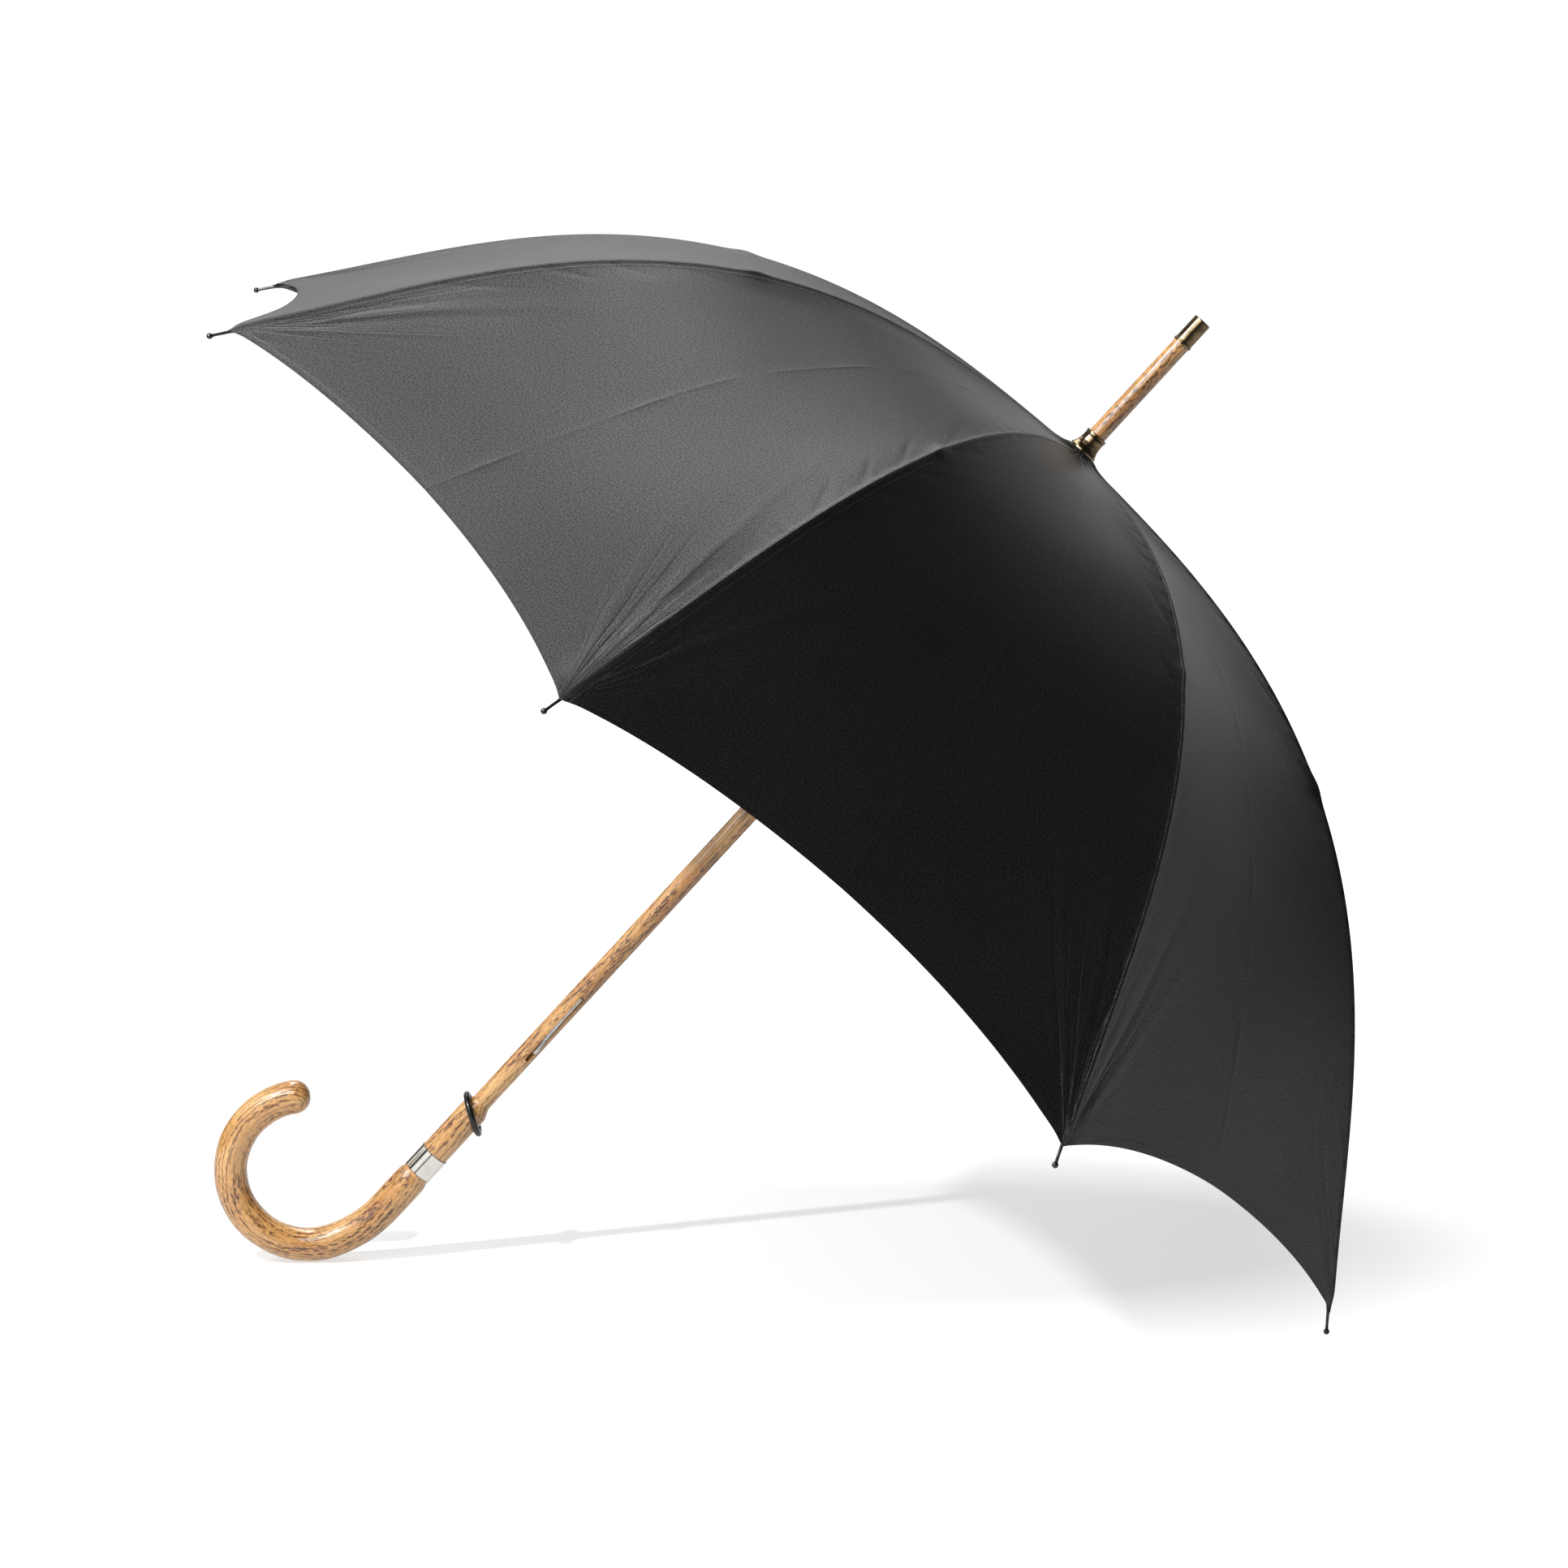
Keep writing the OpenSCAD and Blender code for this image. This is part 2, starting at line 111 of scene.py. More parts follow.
# ---------------------------------------------------------------- node helpers
class Nodes:
    """A small helper that adds nodes to one material and links them."""

    def __init__(self, name):
        self.material = bpy.data.materials.new(name)
        self.material.use_nodes = True
        self.tree = self.material.node_tree
        self.shader = self.tree.nodes["Principled BSDF"]

    def set(self, **values):
        for name, value in values.items():
            self.shader.inputs[name.replace("_", " ")].default_value = value

    def add(self, kind, **settings):
        node = self.tree.nodes.new("ShaderNode" + kind)
        for name, value in settings.items():
            setattr(node, name, value)
        return node

    def link(self, source, target):
        self.tree.links.new(source, target)

    def to_shader(self, source, name):
        self.link(source, self.shader.inputs[name])

    def math(self, operation, a, b=0.0, clamp=False):
        node = self.add("Math", operation=operation, use_clamp=clamp)
        for socket, value in zip(node.inputs, (a, b)):
            if isinstance(value, (int, float)):
                socket.default_value = value
            else:
                self.link(value, socket)
        return node.outputs[0]

    def scaled(self, vector, scale):
        node = self.add("Mapping")
        self.link(vector, node.inputs["Vector"])
        node.inputs["Scale"].default_value = scale
        return node.outputs[0]

    def distance(self, vector, centre, scale):
        """Distance from centre, with each axis scaled."""
        node = self.add("Mapping")
        self.link(vector, node.inputs["Vector"])
        node.inputs["Location"].default_value = [-c * k for c, k in zip(centre, scale)]
        node.inputs["Scale"].default_value = scale
        length = self.add("VectorMath", operation="LENGTH")
        self.link(node.outputs[0], length.inputs[0])
        return length.outputs["Value"]

    def noise(self, vector, scale, detail=2.0, roughness=0.5):
        node = self.add("TexNoise")
        self.link(vector, node.inputs["Vector"])
        node.inputs["Scale"].default_value = scale
        node.inputs["Detail"].default_value = detail
        node.inputs["Roughness"].default_value = roughness
        return node.outputs["Fac"]

    def ramp(self, factor, stops):
        """A colour for each factor, from stops of (factor, colour)."""
        node = self.add("ValToRGB")
        elements = node.color_ramp.elements
        while len(elements) < len(stops):
            elements.new(0.5)
        for element, (place, colour) in zip(elements, stops):
            element.position = place
            element.color = (*colour, 1)
        self.link(factor, node.inputs["Fac"])
        return node.outputs["Color"]

    def between(self, factor, low, high, start=0.0, end=1.0):
        """factor, from start to end, stretched to low to high and held there outside."""
        node = self.add("MapRange")
        self.link(factor, node.inputs["Value"])
        node.inputs["From Min"].default_value = start
        node.inputs["From Max"].default_value = end
        node.inputs["To Min"].default_value = low
        node.inputs["To Max"].default_value = high
        return node.outputs["Result"]

    def line_at(self, value, place, width):
        """1 where value equals place, falling to 0 at width to either side."""
        off = self.math("ABSOLUTE", self.math("SUBTRACT", value, place))
        return self.math("SUBTRACT", 1.0, self.math("DIVIDE", off, width), clamp=True)

    def mix(self, factor, a, b):
        node = self.add("Mix", data_type="RGBA")
        sockets = node.inputs[0], node.inputs[6], node.inputs[7]
        for socket, value in zip(sockets, (factor, a, b)):
            if isinstance(value, (int, float)):
                socket.default_value = value
            elif isinstance(value, tuple):
                socket.default_value = (*value, 1)
            else:
                self.link(value, socket)
        return node.outputs[2]

    def attribute(self, name):
        """The vectors that store() keeps on a piece."""
        return self.add("Attribute", attribute_name=name).outputs["Vector"]

    def parts(self, vector):
        """X, Y and Z of a vector."""
        node = self.add("SeparateXYZ")
        self.link(vector, node.inputs[0])
        return node.outputs

    def bump(self, height, distance, strength=1.0, normal=None):
        node = self.add("Bump")
        node.inputs["Strength"].default_value = strength
        node.inputs["Distance"].default_value = distance
        self.link(height, node.inputs["Height"])
        if normal is not None:
            self.link(normal, node.inputs["Normal"])
        return node.outputs["Normal"]


def object_coordinates(nodes):
    return nodes.add("TexCoord").outputs["Object"]


def umbrella_coordinates(nodes):
    """The row frame's coordinates turned on to the umbrella's axes, in metres."""
    node = nodes.add("Mapping")
    nodes.link(object_coordinates(nodes), node.inputs["Vector"])
    turn = Matrix(AXES.tolist())
    node.inputs["Rotation"].default_value = turn.to_euler()
    node.inputs["Location"].default_value = -(turn @ crown)
    return node.outputs[0]


# ---------------------------------------------------------------- materials
# Spacing of the threads, width of the allowance, and where the stitches lie, in metres
THREAD = 0.00032
SEAM_ALLOWANCE = 0.0049
SEAM_STITCHES = 0.0013
HEM_STITCHES = 0.0052
STITCH_WIDTH = 0.0005


def cloth_material():
    """Closely woven dark twill with a low sheen, creased at the corners of each panel."""
    n = Nodes("cover_cloth")
    flat = n.add("UVMap", uv_map="cloth").outputs["UV"]
    n.set(IOR=1.5, Sheen_Weight=0.04, Sheen_Roughness=0.35)
    n.set(Sheen_Tint=(0.9, 0.9, 0.86, 1), Specular_Tint=(1.0, 1.0, 0.96, 1))
    grain = n.noise(flat, 760, 3.0, 0.7)
    cloud = n.noise(flat, 9, 3.0, 0.55)
    dark, light = (0.0024, 0.0024, 0.0022), (0.0070, 0.0069, 0.0063)
    shade = n.math("ADD", n.math("MULTIPLY", grain, 0.7), n.math("MULTIPLY", cloud, 0.3))
    n.to_shader(n.ramp(shade, [(0.3, dark), (0.7, light)]), "Base Color")
    n.to_shader(n.between(grain, 0.06, 0.96, 0.3, 0.7), "Specular IOR Level")
    n.to_shader(n.between(cloud, 0.44, 0.52), "Roughness")
    # Creases fan out from the corner where the cloth is tied to a rib's tip
    fan = n.attribute("fan")
    angle, reach, _ = n.parts(fan)
    ridges = n.line_at(n.noise(n.scaled(fan, (9, 8, 1)), 1.0, 1.0, 0.5), 0.5, 0.07)
    fine_ridges = n.line_at(n.noise(n.scaled(fan, (21, 11, 1.7)), 1.0, 1.0, 0.5), 0.54, 0.07)
    both = n.math("ADD", ridges, n.math("MULTIPLY", fine_ridges, 0.35))
    near_corner = n.between(reach, 1, 0, 0.04, 0.19)
    near_rib = n.between(angle, 1, 0.1, 0.25, 0.60)
    fading = n.math("MULTIPLY", near_corner, near_rib)
    creased = n.bump(n.math("MULTIPLY", both, fading), 0.00045, 0.8)
    # The seam allowance under the cloth and the rows of stitches
    from_rib, from_hem, allowance = n.parts(n.attribute("edges"))
    strip = n.between(from_rib, 1, 0, SEAM_ALLOWANCE, SEAM_ALLOWANCE + 0.0005)
    strip = n.math("MULTIPLY", strip, allowance)
    stitches = n.math("ADD", n.line_at(from_rib, SEAM_STITCHES, STITCH_WIDTH),
                      n.line_at(from_hem, HEM_STITCHES, STITCH_WIDTH))
    sewn_height = n.math("SUBTRACT", strip, n.math("MULTIPLY", stitches, 0.6))
    sewn = n.bump(sewn_height, 0.0003, 1.0, creased)
    # The weave: crossing threads with the slanting rib of a twill, then the threads' unevenness
    across, along, _ = n.parts(flat)
    warp = n.math("SINE", n.math("MULTIPLY", across, 2 * math.pi / THREAD))
    weft = n.math("SINE", n.math("MULTIPLY", along, 2 * math.pi / THREAD))
    twill = n.math("SINE", n.math("MULTIPLY", n.math("ADD", across, along), math.pi / THREAD))
    weave = n.math("ADD", n.math("MULTIPLY", warp, weft), n.math("MULTIPLY", twill, 0.6))
    fine = n.bump(weave, 0.00003, 0.35, sewn)
    slub = n.noise(n.scaled(flat, (1, 0.12, 1)), 1400, 2.0)
    uneven = n.math("ADD", slub, n.math("MULTIPLY", grain, 0.8))
    n.to_shader(n.bump(uneven, 0.00012, 0.35, fine), "Normal")
    return n.material


# Distance between two growth layers of the wood, in metres
GROWTH_LAYER = 0.0027
BLACK = (0, 0, 0)
GREY = (0.5, 0.5, 0.5)
WHITE = (1, 1, 1)


def wood_material(name, place):
    """Lacquered ash: growth layers a few millimetres apart, with rows of short brown pores.
    place gives the coordinates, in metres, with Z along the grain."""
    n = Nodes(name)
    where = place(n)
    n.set(IOR=1.5, Coat_Weight=1.0, Coat_Roughness=0.06, Coat_IOR=1.6)
    wander = n.noise(n.scaled(where, (38, 38, 9)), 1.0, 2.0)
    x, y, _ = n.parts(where)
    layer = n.math("ADD", n.math("MULTIPLY", x, 0.42), n.math("MULTIPLY", y, 0.91))
    layer = n.math("ADD", layer, n.math("MULTIPLY", wander, 0.016))
    band = n.math("SINE", n.math("MULTIPLY", layer, 2 * math.pi / GROWTH_LAYER))
    band = n.between(band, 0, 1, -1, 1)
    pores = n.noise(n.scaled(where, (1150, 1150, 230)), 1.0, 2.0, 0.55)
    fine = n.noise(n.scaled(where, (2600, 2600, 260)), 1.0, 2.0, 0.6)
    streaks = n.noise(n.scaled(where, (900, 900, 28)), 1.0, 2.0, 0.5)
    patch = n.noise(n.scaled(where, (70, 70, 24)), 1.0, 2.0, 0.5)
    tan = n.ramp(patch, [(0.30, (0.60, 0.275, 0.080)), (0.50, (0.82, 0.445, 0.150)),
                         (0.66, (0.92, 0.55, 0.215))])
    tan = n.mix(n.between(fine, -0.15, 0.6), tan, (0.56, 0.25, 0.074))
    lines = n.math("ADD", n.ramp(band, [(0.86, BLACK), (0.99, GREY)]),
                   n.ramp(streaks, [(0.54, BLACK), (0.66, GREY)]))
    tan = n.mix(lines, tan, (0.27, 0.105, 0.034))
    rows = n.math("MULTIPLY", n.ramp(band, [(0.10, (0.30, 0.30, 0.30)), (0.65, WHITE)]),
                  n.ramp(patch, [(0.45, WHITE), (0.72, (0.4, 0.4, 0.4))]))
    dashes = n.math("MULTIPLY", n.ramp(pores, [(0.475, BLACK), (0.545, WHITE)]), rows)
    n.to_shader(n.mix(dashes, tan, (0.10, 0.035, 0.011)), "Base Color")
    n.to_shader(n.between(dashes, 0.36, 0.52), "Roughness")
    n.to_shader(n.bump(n.math("SUBTRACT", fine, dashes), 0.00012, 0.35), "Normal")
    return n.material


# Heights of the collar's two ends on the umbrella's axis, and width of the tarnish there, in metres
COLLAR_ENDS = (-0.6805, -0.662)
RIM_WIDTH = 0.0009


def metal_material(name, colour, worn, roughness, fine_scale=900.0, patch_scale=60.0,
                   bump=0.00002, metallic=1.0, brushed=None, rims=()):
    """Metal with cloudy wear, fine scratches, lines along an axis where brushed is given, and
    tarnish at the heights in rims."""
    n = Nodes(name)
    where = umbrella_coordinates(n)
    n.set(Metallic=metallic)
    cloud = n.noise(where, patch_scale, 4.0, 0.6)
    fine = n.noise(n.scaled(where, brushed) if brushed else where, fine_scale, 2.0, 0.6)
    shade = n.ramp(cloud, [(0.35, worn), (0.62, colour)])
    for height in rims:
        tarnish = n.line_at(n.parts(where)[2], height, RIM_WIDTH)
        shade = n.mix(n.math("MULTIPLY", tarnish, 0.85), shade, (0.10, 0.09, 0.08))
    n.to_shader(shade, "Base Color")
    blend = n.math("ADD", n.math("MULTIPLY", cloud, 0.5), n.math("MULTIPLY", fine, 0.5))
    n.to_shader(n.between(blend, *roughness), "Roughness")
    n.to_shader(n.bump(fine, bump, 0.4), "Normal")
    return n.material


def ring_material():
    """Glossy black rubber."""
    n = Nodes("keeper_rubber")
    where = umbrella_coordinates(n)
    n.set(IOR=1.5, Specular_IOR_Level=0.55)
    cloud = n.noise(where, 240, 3.0)
    shade = n.ramp(cloud, [(0.3, (0.006, 0.006, 0.006)), (0.7, (0.014, 0.014, 0.015))])
    n.to_shader(shade, "Base Color")
    n.to_shader(n.between(cloud, 0.16, 0.32), "Roughness")
    n.to_shader(n.bump(n.noise(where, 2600, 2.0), 0.00002, 0.3), "Normal")
    return n.material


def make_materials():
    return {
        "cloth": cloth_material(),
        "wood": wood_material("ash_stick", umbrella_coordinates),
        "crook": wood_material("ash_crook", lambda n: n.attribute("grain")),
        "silver": metal_material("collar_silver", (0.90, 0.88, 0.83), (0.80, 0.77, 0.70),
                                 (0.06, 0.22), 1500, 90, rims=COLLAR_ENDS),
        "brass": metal_material("aged_brass", (0.27, 0.195, 0.11), (0.11, 0.078, 0.042),
                                (0.12, 0.32), 1100, 150, 0.00003),
        "nickel": metal_material("nickel", (0.62, 0.61, 0.59), (0.42, 0.41, 0.39), (0.14, 0.34)),
        "spring": metal_material("spring_steel", (0.70, 0.70, 0.70), (0.50, 0.50, 0.50),
                                 (0.14, 0.34), 1500, 120, brushed=(1, 1, 0.04)),
        "rib": metal_material("rib_steel", (0.055, 0.055, 0.058), (0.030, 0.030, 0.032),
                              (0.30, 0.50), 1200, 80, 0.00003, metallic=0.85),
        "tip": metal_material("tip_steel", (0.11, 0.11, 0.115), (0.05, 0.05, 0.052),
                              (0.20, 0.42), 1800, 300),
        "ring": ring_material(),
    }


# ---------------------------------------------------------------- mesh helpers
def new_object(name, vertices, faces, material, shade_smooth=True):
    mesh = bpy.data.meshes.new(name)
    mesh.from_pydata([tuple(v) for v in vertices], [], faces)
    mesh.validate()
    mesh.polygons.foreach_set("use_smooth", [shade_smooth] * len(mesh.polygons))
    mesh.materials.append(material)
    obj = bpy.data.objects.new(name, mesh)
    bpy.context.scene.collection.objects.link(obj)
    return obj


def grid_faces(rows, columns, closed=False, flip=False):
    """Quads between rows of points, with the last column joined to the first where closed."""
    faces = []
    for i in range(rows - 1):
        for j in range(columns if closed else columns - 1):
            a, b = i * columns + j, i * columns + (j + 1) % columns
            quad = (a, b, b + columns, a + columns)
            faces.append(quad[::-1] if flip else quad)
    return faces


def store(piece, name, values):
    """Keep one vector per point, for the material to read."""
    attribute = piece.data.attributes.new(name, "FLOAT_VECTOR", "POINT")
    attribute.data.foreach_set("vector", np.asarray(values, np.float32).ravel())


# ---------------------------------------------------------------- the cover
# Lengths are in millimetres. A panel is named after the rib at its first side.
SEAM_LENGTH = 620.0
SEAM_STEP = 0.5
CROWN_RADIUS = 10.0
# The hinges of the ribs, and the upper edge of the panels, as distances down the seam
JOINT_AT = 275.0
COVER_START = 3.0
CROWN_RISE = 2.3
# How far the hem bows in between two ribs, and how far its corners reach down the ribs
HEM_BOW = {1: 21.5, 2: 21.5, 3: 21.5, 4: 21.5, 5: 21.5, 6: 17.5, 7: 22.5, 8: 23.0}
CORNER_POINT = 9.5
HEM_POWER = 1.8
# The angle between a rib and the hem's chord at a corner
CHORD_ANGLE = math.radians(75.8)
# How far the middle of a panel hangs in
SAG = {1: 8.0, 2: 8.0, 3: 8.0, 4: 7.0, 5: 7.0, 6: 5.0, 7: 9.0, 8: 9.0}
# Across the hem, from the cloth to the edge and back under it: distance from the edge and height
HEM_PROFILE = [(7.5, 0.0), (6.2, 0.0), (5.2, -0.02), (4.4, 0.04), (3.0, 0.07), (1.6, 0.06),
               (0.6, 0.0), (0.1, -0.12), (0.0, -0.28), (0.2, -0.44), (1.5, -0.52), (4.6, -0.5)]


def seam_slope(along):
    """How steeply a seam falls, in radians, at a distance along it."""
    t = along / SEAM_LENGTH
    return np.radians(2 + 4 * t + 178 * t**2 - 133.5 * t**3)


def seam_table():
    """Radius, height and slope of a seam at every step along it."""
    along = np.arange(0, SEAM_LENGTH + 12, SEAM_STEP)
    slope = seam_slope(along[:-1] + SEAM_STEP / 2)
    radius = CROWN_RADIUS + np.concatenate([[0], np.cumsum(SEAM_STEP * np.cos(slope))])
    height = -np.concatenate([[0], np.cumsum(SEAM_STEP * np.sin(slope))])
    return along, radius, height, seam_slope(along)


SEAM = seam_table()


def seam_at(u):
    """Radius, height and slope of a seam at a distance u along it."""
    along, radius, height, slope = SEAM
    return np.interp(u, along, radius), np.interp(u, along, height), np.interp(u, along, slope)


# Creases at a corner: how many, then the ranges of direction, reach, height and width. The first
# kind runs up beside the rib, and the second along the hem.
CORNER_CREASES = [(7, (0.03, 0.42), (60, 190), (-0.9, 0.7), (1.0, 2.4)),
                  (3, (0.75, 1.05), (25, 60), (-0.7, 0.7), (1.0, 1.8))]


def corner_wrinkles(panel, side):
    """Creases that run from a corner of a panel into it: direction, reach, height and width."""
    rng = np.random.default_rng(40 + 10 * panel + side)
    return [[rng.uniform(*limits) for limits in ranges]
            for count, *ranges in CORNER_CREASES for _ in range(count)]


def from_corner(u, s, side):
    """Angle from the rib, in radians, and distance, at the corner of a panel on one side."""
    away = seam_at(u)[0] * math.sin(HALF) * (1 - side * s)
    along = SEAM_LENGTH + CORNER_POINT - u + away * math.cos(CHORD_ANGLE)
    across = away * math.sin(CHORD_ANGLE)
    return np.arctan2(across, along), np.hypot(along, across)


def hem_at(panel, s):
    """Distance down the seam at which the hem of a panel lies."""
    across = np.abs(s)
    return SEAM_LENGTH + CORNER_POINT * across**4 - HEM_BOW[panel] * (1 - across**HEM_POWER)


def slow_waves(panel):
    """Broad waves of a panel: how fast each runs down and across, its phase and its height."""
    rng = np.random.default_rng(panel)
    return [(rng.uniform(0.012, 0.045), rng.uniform(-0.03, 0.03), rng.uniform(0, 2 * math.pi),
             rng.uniform(0.10, 0.32)) for _ in range(7)]


# Heights of what lies on the cloth, and the lengths of the waves that shape it
FOLD_HEIGHT = 0.30
SEAM_HEIGHT = 0.55
ALLOWANCE_HEIGHT = 0.2
RIVET_HEIGHT = 1.3
PUCKER_HEIGHTS = (0.24, 0.55)
PUCKER_LENGTHS = (13.0, 37.0)
SLANT_DEPTH = 0.32
SLANT_LENGTH = 53.0
GATHER_HEIGHT = 0.5
CORNER_DIP = 2.2


def bell(x, width):
    """1 where x is zero, falling off smoothly to either side."""
    return np.exp(-((x / width) ** 2))


def seam_relief(u, s, from_rib, which):
    """What stands up or dips beside the seam. which is the number of the rib under it."""
    # The seam stands up a little over the rib, and its allowance lies to one side
    height = SEAM_HEIGHT * bell(from_rib, 2.2) * smooth(6, 30, u)
    height += (np.where(s < 0, ALLOWANCE_HEIGHT, 0.0) * smooth(6.2, 4.8, from_rib)
               * smooth(0.6, 1.5, from_rib))
    height += RIVET_HEIGHT * bell(u - JOINT_AT, 9) * bell(from_rib, 6)
    # Puckers along the seam
    short, long = (2 * math.pi * u / length for length in PUCKER_LENGTHS)
    wave = np.sin(short + which) * np.sin(long + 2.3 * which)
    size = np.where(s > 0, PUCKER_HEIGHTS[1], PUCKER_HEIGHTS[0])
    height += size * wave * np.exp(-from_rib / 8.0) * smooth(0.3, 3, from_rib) * smooth(40, 90, u)
    # Slanting creases that run off the seam
    slant = u + 1.7 * from_rib + 9 * np.sin(u / 29.0 + which)
    crease = np.clip(np.sin(slant * 2 * math.pi / SLANT_LENGTH + 2.1 * which), 0, 1) ** 6
    patch = (0.5 + 0.5 * np.sin(u / 67.0 + 1.3 * which)) * bell(from_rib - 11, 9)
    height -= SLANT_DEPTH * crease * patch * smooth(80, 140, u) * smooth(1, 4, from_rib)
    return height


def corner_relief(panel, u, s, side, from_rib):
    """The dip and the fan of creases at the corner of a panel on one side."""
    angle, reach = from_corner(u, s, side)
    height = -CORNER_DIP * bell(reach, 9)
    for heading, length, size, width in corner_wrinkles(panel, side):
        off_line = reach * np.sin(np.clip(angle - heading, -1.5, 1.5))
        envelope = smooth(6, 42, reach) * bell(reach, length)
        height += size * envelope * bell(off_line, width + 0.014 * reach) * smooth(1, 5, from_rib)
    return height


def relief(panel, u, s):
    """How far the cloth stands out of the straight surface between two ribs, in millimetres.
    u is the distance down the seam, and s runs from -1 at rib `panel` to 1 at the next rib."""
    half_chord = seam_at(u)[0] * math.sin(HALF)
    from_rib = half_chord * (1 - np.abs(s))
    from_middle = half_chord * np.abs(s)
    down = np.clip(u / SEAM_LENGTH, 0.001, 0.999)
    height = -SAG[panel] * np.sin(math.pi * down**1.1) ** 0.9 * (1 - s * s)
    # The fold that the panel was pressed along, down its middle
    fold = 0.5 + 0.5 * np.sin(u / 31.0 + panel) * np.sin(u / 13.0 + 2 * panel)
    height += FOLD_HEIGHT * fold * np.exp(-from_middle / 2.2) * smooth(60, 160, u)
    open_cloth = smooth(2, 26, from_rib) * smooth(30, 120, u)
    for a, b, phase, size in slow_waves(panel):
        height += size * np.sin(a * u + b * half_chord * s + phase) * open_cloth
    height += seam_relief(u, s, from_rib, panel + np.where(s > 0, 1, 0))
    # Gathers at the crown, where the cloth rises to the cup
    height += GATHER_HEIGHT * np.cos(5 * math.pi * s + panel) * np.exp(-u / 32.0) * (1 - s * s)
    height += CROWN_RISE * np.exp(-(u - COVER_START) / 9.0)
    for side in (-1, 1):
        height += corner_relief(panel, u, s, side, from_rib)
    return height


def cloth_points(panel, u, s, lift=0.0):
    """Points of the cover, in millimetres on the umbrella's axes. lift is a further height."""
    radius, z, slope = seam_at(u)
    x = radius * math.cos(HALF)
    y = s * radius * math.sin(HALF)
    steep = np.arctan2(np.sin(slope), np.cos(slope) * math.cos(HALF))
    # Heights count out of the panel, but straight out of the rib at the rib, where two panels meet
    at_rib = 1 - smooth(0, 10, radius * math.sin(HALF) * (1 - np.abs(s)))
    lean = np.stack([np.sin(steep) * (1 - at_rib) + np.sin(slope) * math.cos(HALF) * at_rib,
                     np.sign(s) * np.sin(slope) * math.sin(HALF) * at_rib,
                     np.cos(steep) * (1 - at_rib) + np.cos(slope) * at_rib])
    height = (relief(panel, u, s) + lift) / np.linalg.norm(lean, axis=0)
    x, y, z = x + height * lean[0], y + height * lean[1], z + height * lean[2]
    turn = rib_azimuth(panel) + HALF
    return np.stack([x * math.cos(turn) - y * math.sin(turn),
                     x * math.sin(turn) + y * math.cos(turn), z], axis=-1)


def across_steps(count):
    """Places across half a panel, 0 at the rib and 1 at the middle, closest together at both."""
    near_rib = [0, 0.004, 0.008, 0.013, 0.019, 0.026, 0.034, 0.045, 0.06, 0.08]
    middle = list(0.08 + 0.86 * np.linspace(0, 1, count)[1:] ** 1.35)
    return np.array(near_rib + middle + [0.955, 0.968, 0.979, 0.988, 0.995, 1.0])


def half_panel(panel, side, lower):
    """(grid of u, grid of s, grid of lift) for the half of a panel on one side, above or below
    the hinges of the ribs."""
    steps = side * (1 - across_steps(72 if lower else 34))
    hem = hem_at(panel, steps)
    if not lower:
        near_crown = np.linspace(COVER_START, 40, 14)[:-1]
        rows = np.concatenate([near_crown, np.linspace(40, JOINT_AT, 72)])
        u = np.repeat(rows[:, None], len(steps), axis=1)
        lift = np.zeros_like(u)
    else:
        share = np.linspace(0, 1, 104)[:, None]
        body = JOINT_AT + share * (hem - HEM_PROFILE[0][0] - JOINT_AT)[None, :]
        folded = np.array([hem - edge for edge, _ in HEM_PROFILE[1:]])
        folded_lift = np.repeat([[height] for _, height in HEM_PROFILE[1:]], len(steps), axis=1)
        u = np.concatenate([body, folded])
        lift = np.concatenate([np.zeros_like(body), folded_lift])
    s = np.repeat(steps[None, :], len(u), axis=0)
    return u, s, lift


def gather(piece):
    """Give half a panel a mesh of its own."""
    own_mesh(piece)


def cloth_piece(name, points, faces, flat, material):
    """A piece of the cover, with its flat place on the cloth, in metres, as its UVs."""
    piece = new_object(name, to_row(points.reshape(-1, 3)), faces, material)
    layer = piece.data.uv_layers.new(name="cloth")
    corners = np.zeros(len(piece.data.loops), np.int32)
    piece.data.loops.foreach_get("vertex_index", corners)
    layer.data.foreach_set("uv", flat.reshape(-1, 2)[corners].astype(np.float32).ravel())
    return piece


PARTS = ((False, "top"), (True, "hem"))


def hold_cloth(piece, rib, lower):
    """Say which rib carries a piece of the cover."""
    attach(piece, f"rib_end_{rib}" if lower else f"rib_{rib}")


def make_half_panel(panel, side, lower, name, material):
    """Half of a panel, from a rib to the panel's middle, above or below the hinges."""
    rib = panel if side < 0 else panel % RIBS + 1
    u, s, lift = half_panel(panel, side, lower)
    half_chord = seam_at(u)[0] * math.sin(HALF)
    flat = np.stack([half_chord * s * MM + 0.5, u * MM], axis=-1)
    piece = cloth_piece(name, cloth_points(panel, u, s, lift),
                        grid_faces(*u.shape, flip=side > 0), flat, material)
    angle, reach = from_corner(u, s, side)
    seed = np.full_like(u, 3.7 * (2 * panel + side))
    store(piece, "fan", np.stack([angle, reach * MM, seed], axis=-1))
    from_rib = half_chord * (1 - np.abs(s)) * MM
    from_hem = (hem_at(panel, s) - u) * MM
    allowance = np.full_like(u, 1.0 if side < 0 else 0.0)
    store(piece, "edges", np.stack([from_rib, from_hem, allowance], axis=-1))
    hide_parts(f"cover_panel_{panel}")
    hold_cloth(piece, rib, lower)
    gather(piece)


def make_cover(material):
    for panel in range(1, RIBS + 1):
        for side, letter in ((-1, "a"), (1, "b")):
            for lower, part in PARTS:
                make_half_panel(panel, side, lower, f"cover_{panel}{letter}_{part}", material)


# How far a band reaches to either side of its rib, how far under the cover it lies, and how far
# short of the seam's end it stops
SEAM_BAND = 13.0
BAND_DROP = 0.45
BAND_END = 8


